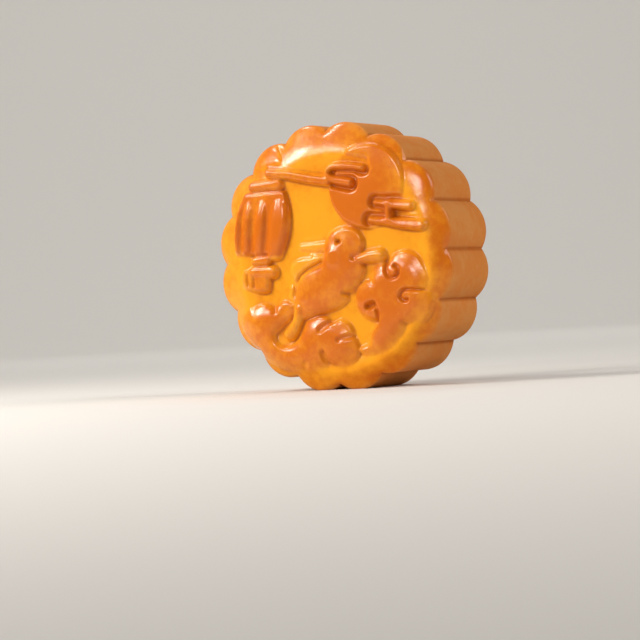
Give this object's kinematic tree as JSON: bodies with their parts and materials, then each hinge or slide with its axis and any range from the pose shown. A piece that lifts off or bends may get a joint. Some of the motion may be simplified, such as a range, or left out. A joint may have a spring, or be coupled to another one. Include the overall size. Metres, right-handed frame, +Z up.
{
  "type": "mooncake",
  "caption": "Round baked mooncake with a scalloped wall, a raised border and a moulded moon, lantern, rabbit and cloud relief, standing on its edge.",
  "frame": {"origin": "centre of the bounding box at the bottom, where the two lowest lobes of the wall stand", "axes": "+Z up with the cake standing on its edge, -Y the way the moulded face looks, +X to the right of the face"},
  "size_m": [0.0788, 0.0288, 0.0786],
  "materials": {
    "baked_crust": "satin, egg-glazed face over a matt wall"
  },
  "bodies": {
    "root": {"mooncake": "baked_crust"}
  },
  "joints": []
}
